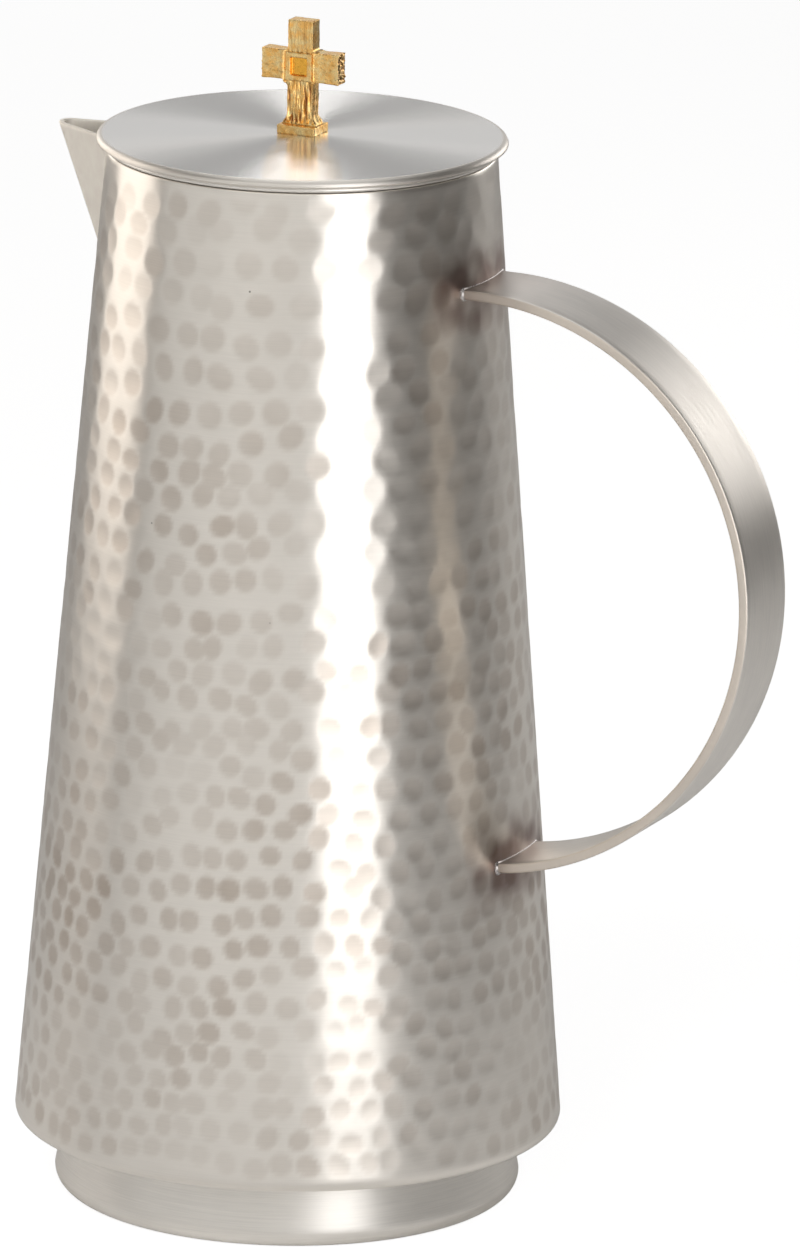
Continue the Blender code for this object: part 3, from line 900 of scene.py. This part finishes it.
def strap_handle(material, solder):
    """The bent strap, and the bead of solder round each of its two ends."""
    section = strap_section()
    columns = []
    for y, n in section:
        top, low = strap_end(y, n, STRAP_INSET)
        stations = [top * (1 - i / STRAP_STRAIGHT) for i in range(STRAP_STRAIGHT)]
        stations += [low * i / STRAP_BEND for i in range(STRAP_BEND + 1)]
        columns.append([strap_point(y, n, where) for where in stations])
    grid = np.array(columns).transpose(1, 0, 2)
    count, width = grid.shape[:2]
    faces = grid_faces(count, width) + end_faces(count, width)
    make_piece("handle_bent", grid, faces, material, "pitcher", "strap_silver", ["handle_strap"])
    ends = {"upper": [], "lower": []}
    for y, n in section:
        top, low = strap_end(y, n, -0.05 * MM)
        ends["upper"].append(strap_point(y, n, top))
        ends["lower"].append(strap_point(y, n, low))
    for name, path in ends.items():
        # the solder gathers in a drop at each of the strap's corners
        corner = [math.exp(-(((abs(p[1]) - STRAP_HALF) / (0.9 * MM)) ** 2)) for p in path]
        radii = [r + 0.5 * MM * c for r, c in zip(uneven(path, 0.18 * MM), corner)]
        name = f"handle_solder_{name}"
        tube_piece(name, path, radii, solder, "pitcher", "strap_silver", closed=True)


# ---- the gilt cross

# The sizes of the cross are millimetres, in its own frame: x across, y deep, z up
CROSS_FRAME = 7.2  # side of the square frame at the crossing
CROSS_FRAME_PROUD = 0.9  # how far the frame stands out of the faces
CROSS_RECESS = 4.6  # side of the square hollow inside the frame
CROSS_RECESS_DEPTH = 1.2
CROSS_ARM_CENTRE = 17.3  # height of the arms' middle
CROSS_ARM_HALF = 3.7
CROSS_ARM_SPREAD = 0.2  # how much the arms widen, up and down, at their tips
CROSS_SHAFT_HALF = 3.4
CROSS_HALF_DEPTH = 2.15
CROSS_FLARE = 3.0  # radius of the shaft's flare onto the plinth
CROSS_ARMPIT = 1.6  # radius under the arms
CROSS_SHOULDER = 0.8  # radius over the arms
PLINTH = (10.4, 8.4, 2.3)
CROSS_VOXEL = 0.17


def block(name, low, high):
    """A helper box from its lowest corner to its highest."""
    xs, ys, zs = zip(low, high)
    points = [(x, y, z) for x in xs for y in ys for z in zs]
    faces = [[0, 1, 3, 2], [4, 6, 7, 5], [0, 4, 5, 1], [2, 3, 7, 6], [0, 2, 6, 4], [1, 5, 7, 3]]
    return closed_mesh(name, points, faces)


def cross_outline(span, height):
    """The front of the cross as (across, up) from the plinth's underside."""
    low, high = CROSS_ARM_CENTRE - CROSS_ARM_HALF, CROSS_ARM_CENTRE + CROSS_ARM_HALF
    half = CROSS_SHAFT_HALF
    right = [(half + 1.2, PLINTH[2] - 0.3)]
    right += arc((half + CROSS_FLARE, PLINTH[2] + CROSS_FLARE), CROSS_FLARE, 230, 180, 8)
    right += arc((half + CROSS_ARMPIT, low - CROSS_ARMPIT), CROSS_ARMPIT, 180, 90, 8)
    right += [(span / 2, low - CROSS_ARM_SPREAD), (span / 2, high + CROSS_ARM_SPREAD)]
    right += arc((half + CROSS_SHOULDER, high + CROSS_SHOULDER), CROSS_SHOULDER, 270, 180, 6)
    right += [(half, height)]
    return right + [(-x, z) for x, z in reversed(right)]


def cross_solid(height, span):
    """The casting's plain form, in millimetres, as a fine even mesh."""
    outline = cross_outline(span, height)
    count = len(outline)
    points = [(x, y, z) for y in (-CROSS_HALF_DEPTH, CROSS_HALF_DEPTH) for x, z in outline]
    faces = [list(range(count)), list(range(count, 2 * count))[::-1]]
    faces += [[i, i + count, (i + 1) % count + count, (i + 1) % count] for i in range(count)]
    solid = closed_mesh("cross_form", points, faces)
    side = CROSS_FRAME / 2
    depth = CROSS_HALF_DEPTH + CROSS_FRAME_PROUD
    recess = CROSS_RECESS / 2
    centre = CROSS_ARM_CENTRE
    wide, deep, high = PLINTH[0] / 2, PLINTH[1] / 2, PLINTH[2]
    plinth = block("cross_plinth", (-wide, -deep, 0), (wide, deep, high))
    square = block("cross_frame", (-side, -depth, centre - side), (side, depth, centre + side))
    helpers = [("UNION", plinth), ("UNION", square)]
    for sign in (-1, 1):
        near, far = sorted((sign * (depth - CROSS_RECESS_DEPTH), sign * 2 * depth))
        hollow = block(
            f"cross_recess_{sign}", (-recess, near, centre - recess), (recess, far, centre + recess)
        )
        helpers.append(("DIFFERENCE", hollow))
    for operation, helper in helpers:
        modifier = solid.modifiers.new(helper.name, "BOOLEAN")
        modifier.operation = operation
        modifier.object = helper
        modifier.solver = "EXACT"
    remesh = solid.modifiers.new("even", "REMESH")
    remesh.mode = "VOXEL"
    remesh.voxel_size = CROSS_VOXEL
    bpy.context.view_layer.update()
    shape = solid.evaluated_get(bpy.context.evaluated_depsgraph_get())
    mesh = shape.to_mesh()
    points = np.array([v.co for v in mesh.vertices])
    normals = np.array([v.normal for v in mesh.vertices])
    faces = [list(face.vertices) for face in mesh.polygons]
    shape.to_mesh_clear()
    for obj in [solid] + [helper for _, helper in helpers]:
        bpy.data.objects.remove(obj, do_unlink=True)
    return points, normals, faces


def between(value, low, high, soft):
    """1 inside low..high, falling softly to 0 outside."""
    a = np.clip((value - low) / soft + 0.5, 0, 1)
    b = np.clip((high - value) / soft + 0.5, 0, 1)
    return a * a * (3 - 2 * a) * b * b * (3 - 2 * b)


def gilt_cross(material):
    """The casting with its hand-cut texture: bark on the shaft, grain on the arms."""
    height = (CROSS_HIGH.z - CROSS_LOW.z) / MM
    span = (CROSS_HIGH.x - CROSS_LOW.x) / MM
    points, normals, faces = cross_solid(height, span)
    x, y, z = points.T
    front = np.clip(np.abs(normals[:, 1]) * 1.4 - 0.3, 0, 1)
    ends = np.clip(np.abs(normals[:, 0]) * 1.4 - 0.3, 0, 1)

    def field(scale_x, scale_y, scale_z, seed):
        """Noise at each point: a small scale along an axis draws it out into streaks."""
        return np.array([
            noise.noise(Vector((px * scale_x + seed, py * scale_y, pz * scale_z)))
            for px, py, pz in points
        ])

    side = CROSS_FRAME / 2
    centre = CROSS_ARM_CENTRE
    # where each part of the surface is
    shaft = between(z, PLINTH[2] + 0.6, centre - side - 0.1, 0.8) * between(x, -4.5, 4.5, 0.5)
    upper = between(z, centre + side + 0.1, height - 0.3, 0.5)
    arms = between(np.abs(x), side + 0.1, span, 0.4) * between(z, centre - 4.2, centre + 4.2, 0.4)
    tip = between(np.abs(x), span / 2 - 0.5, span, 0.4) * arms
    # how far it moves in or out, in millimetres
    bark = field(1.35, 0.6, 0.16, 3.0) * 1.2 + field(2.9, 1.0, 0.30, 9.0) * 0.6
    streak = field(2.2, 1.0, 0.22, 21.0)
    level = field(0.22, 1.0, 1.3, 50.0)
    grain = field(2.6, 2.6, 2.6, 5.0)
    rough = field(0.9, 0.9, 0.9, 40.0)
    fine = field(6.0, 6.0, 6.0, 60.0)
    move = 0.008 * fine + 0.06 * rough
    move += shaft * front * 0.70 * bark
    move += shaft * ends * 0.22 * field(0.5, 2.2, 0.3, 14.0)
    move += upper * front * 0.24 * streak + arms * front * (0.012 * grain + 0.07 * level)
    notches = field(0.2, 0.8, 1.9, 31.0)
    move += tip * ends * (0.45 * notches - 0.10)
    # the arms' faces rise towards the frame
    slope = np.clip(1 - (np.abs(x) - side + 0.4) / 3.0, 0, 1) * (np.abs(x) > side - 0.4)
    move += arms * front * 1.1 * slope**2
    points = points + normals * move[:, None]
    # and how brown it is, in the hollows and between the notches at the tips: painted shade
    hollow = np.clip(-move * 2.6, 0, 1) * (1 - tip) + tip * ends * np.clip(0.35 - notches, 0, 1)
    recess = CROSS_RECESS / 2
    inset = between(np.abs(x), -1, recess, 0.2) * between(z, centre - recess, centre + recess, 0.2)
    foot = np.array([0.0, 0.0, CROSS_LOW.z])
    cross = make_piece(
        "cross_gilt", points * MM + foot, faces, material, "lid", "gilt_cast", ["finial_cross"],
        crease=180,
    )
    # painted shade: darker in the hollows, less inside the framed square
    store(cross, "hollow", np.clip(hollow, 0, 1) * (1 - 0.7 * inset))
    # where the painted reflection of gold in gold goes, inside the framed square
    store(cross, "painted_reflection_zone", inset * (np.abs(y) < CROSS_HALF_DEPTH + 0.3))
    return cross


# ---- camera, floor and light

CAMERA_AZIMUTH = math.radians(25)  # from the front, -Y, towards the handle
CAMERA_DISTANCE = 3.37929  # level, from the axis of the body
CAMERA_HEIGHT = 1.05915
CAMERA_PITCH = math.radians(15.108)  # downwards
CAMERA_YAW = math.radians(0.4511)  # to the right of the axis
CAMERA_ROLL = math.radians(0.9818)
CAMERA_LENS = 396.05
SENSOR = 36.0
FLOOR_HALF_SIDE = 20.0
FLOOR_DROP = 0.2 * MM  # the floor lies this far under the foot


def heading(relative):
    """Level direction from the object, in degrees to the right of the camera's own."""
    angle = CAMERA_AZIMUTH + math.radians(relative)
    return Vector((math.sin(angle), -math.cos(angle), 0))


def make_camera():
    """A long lens a little above the object and to the handle's side of its front."""
    look = Vector((
        math.sin(CAMERA_YAW) * math.cos(CAMERA_PITCH),
        math.cos(CAMERA_YAW) * math.cos(CAMERA_PITCH),
        -math.sin(CAMERA_PITCH),
    ))
    look.rotate(Matrix.Rotation(CAMERA_AZIMUTH, 3, "Z"))
    right = look.cross(Vector((0, 0, 1))).normalized()
    up = right.cross(look)
    cos, sin = math.cos(CAMERA_ROLL), math.sin(CAMERA_ROLL)
    right, up = right * cos + up * sin, up * cos - right * sin
    data = bpy.data.cameras.new("camera")
    data.lens = CAMERA_LENS
    data.sensor_width = SENSOR
    data.clip_end = 50.0
    camera = add_object("camera", data)
    axes = Matrix((right, up, -look)).transposed().to_4x4()
    place = heading(0) * CAMERA_DISTANCE + Vector((0, 0, CAMERA_HEIGHT))
    camera.matrix_world = Matrix.Translation(place) @ axes
    bpy.context.scene.camera = camera


def softbox(name, relative, distance, low, high, width, radiance, tint=(1, 1, 1), aim=None):
    """A light panel facing the object's axis.

    relative is its heading in degrees to the right of the camera's own, low and high are the
    heights of its edges, radiance is how bright it looks, and aim the height that it faces.
    """
    data = bpy.data.lights.new(name, "AREA")
    data.shape = "RECTANGLE"
    data.size = width
    data.size_y = high - low
    data.energy = radiance * math.pi * width * (high - low)
    data.color = tint
    light = add_object(name, data)
    light.location = heading(relative) * distance + Vector((0, 0, (low + high) / 2))
    target = Vector((0, 0, light.location.z if aim is None else aim))
    light.rotation_mode = "QUATERNION"
    light.rotation_quaternion = (light.location - target).to_track_quat("Z", "Y")
    light.visible_camera = False
    return light


def floor_paper():
    """White paper: a matt surface that looks evenly lit wherever it is seen directly."""
    nodes = Nodes("floor_paper")
    nodes.surface(Base_Color=colour(0.86, 0.86, 0.86), Roughness=0.9)
    output = nodes.tree.nodes["Material Output"]
    sheet = nodes.add("BsdfDiffuse", {"Color": colour(0.30, 0.30, 0.30)}).outputs[0]
    even = nodes.add("Emission", {"Color": colour(1, 1, 1), "Strength": 0.90}).outputs[0]
    seen = nodes.add("AddShader", {0: sheet, 1: even}).outputs[0]
    direct = nodes.add("LightPath").outputs["Is Camera Ray"]
    both = nodes.add("MixShader", {0: direct, 1: nodes.shader.outputs[0], 2: seen})
    nodes.feed(output, "Surface", both.outputs[0])
    return nodes.material


def make_floor():
    """A wide sheet of paper under the foot."""
    mesh = bpy.data.meshes.new("floor")
    side = FLOOR_HALF_SIDE
    around = ((-side, -side), (side, -side), (side, side), (-side, side))
    corners = [(x, y, -FLOOR_DROP) for x, y in around]
    mesh.from_pydata(corners, [], [[0, 1, 2, 3]])
    floor = add_object("floor", mesh)
    mesh.materials.append(floor_paper())


def make_world():
    """A dim warm room, which shows as a plain pale backdrop where it is seen directly."""
    world = bpy.data.worlds.new("studio")
    bpy.context.scene.world = world
    world.use_nodes = True
    tree = world.node_tree
    dim = tree.nodes["Background"]
    dim.inputs["Color"].default_value = (1.0, 0.96, 0.91, 1.0)
    dim.inputs["Strength"].default_value = 0.085
    backdrop = tree.nodes.new("ShaderNodeBackground")
    backdrop.inputs["Color"].default_value = (0.94, 0.94, 0.94, 1.0)
    choice = tree.nodes.new("ShaderNodeMixShader")
    direct = tree.nodes.new("ShaderNodeLightPath")
    tree.links.new(direct.outputs["Is Camera Ray"], choice.inputs[0])
    tree.links.new(dim.outputs[0], choice.inputs[1])
    tree.links.new(backdrop.outputs[0], choice.inputs[2])
    tree.links.new(choice.outputs[0], tree.nodes["World Output"].inputs["Surface"])


def make_lights():
    """Panels all round, from the key light beside the camera to the ones behind the object."""
    softbox("key_strip", 26, 0.75, 0.0, 1.0, 0.34, 2.2)
    softbox("wide_left", -38, 1.2, 0.0, 1.1, 2.55, 0.50, (1.0, 0.99, 0.96))
    softbox("front_high", -20, 1.2, 0.85, 1.5, 1.2, 0.9, (1.0, 0.99, 0.96))
    rim_left = softbox("rim_left", -111, 0.7, 0.08, 0.85, 0.50, 1.25, (1.0, 0.935, 0.865))
    back_left = softbox("back_left", -146, 0.8, 0.18, 0.8, 0.3, 1.3, (1.0, 0.935, 0.85))
    softbox("rim_right", 136, 1.1, 0.22, 0.70, 0.62, 1.95, (1.0, 0.98, 0.95))
    softbox("behind", 180, 2.6, 0.35, 1.8, 4.2, 0.54)
    bow_tie = softbox("bow_tie", 181.0, 1.5, 1.45, 2.15, 0.24, 5.0, aim=0.27)
    ceiling = softbox("ceiling", 0, 0.0, 1.0, 2.4, 1.4, 0.8)
    wash = softbox("floor_wash", -25, 0.85, 0.85, 1.35, 0.5, 8.5)
    for light in (ceiling, wash):  # these two face straight down
        light.rotation_quaternion = Matrix.Rotation(CAMERA_AZIMUTH, 3, "Z").to_quaternion()
    wash.visible_glossy = False  # it lights the paper and leaves the metal alone
    for light in (rim_left, back_left, bow_tie, ceiling):
        light.visible_diffuse = False  # and these light the metal alone


def finish_cad_nodes(inner, satin, steel):
    """The pieces whose CAD shape is right keep it and get the better material."""
    for node, material in (
        ("bottom_plate", inner),
        ("foot_plate", satin),
        ("lid_locating_ring", inner),
        ("finial_washer", steel),
        ("finial_screw", steel),
    ):
        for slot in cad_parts[node].material_slots:
            slot.material = material


def main():
    """Builds the camera, the studio and every piece."""
    make_camera()
    make_floor()
    make_world()
    make_lights()
    satin, inner, steel = satin_silver(), inner_silver(), screw_steel()
    solder = solder_silver()
    finish_cad_nodes(inner, satin, steel)
    hammered_body(hammered_silver())
    smooth_foot(satin)
    smooth_rim(satin)
    turned_lid(lid_silver(LID_HIGH.x - LID_EDGE))
    folded_spout(spout_silver(), solder)
    strap_handle(strap_silver((HANDLE_X, 0.0, HANDLE_Z)), solder)
    gilt_cross(gilt_cast())
    bpy.context.scene.view_settings.view_transform = "Standard"


main()
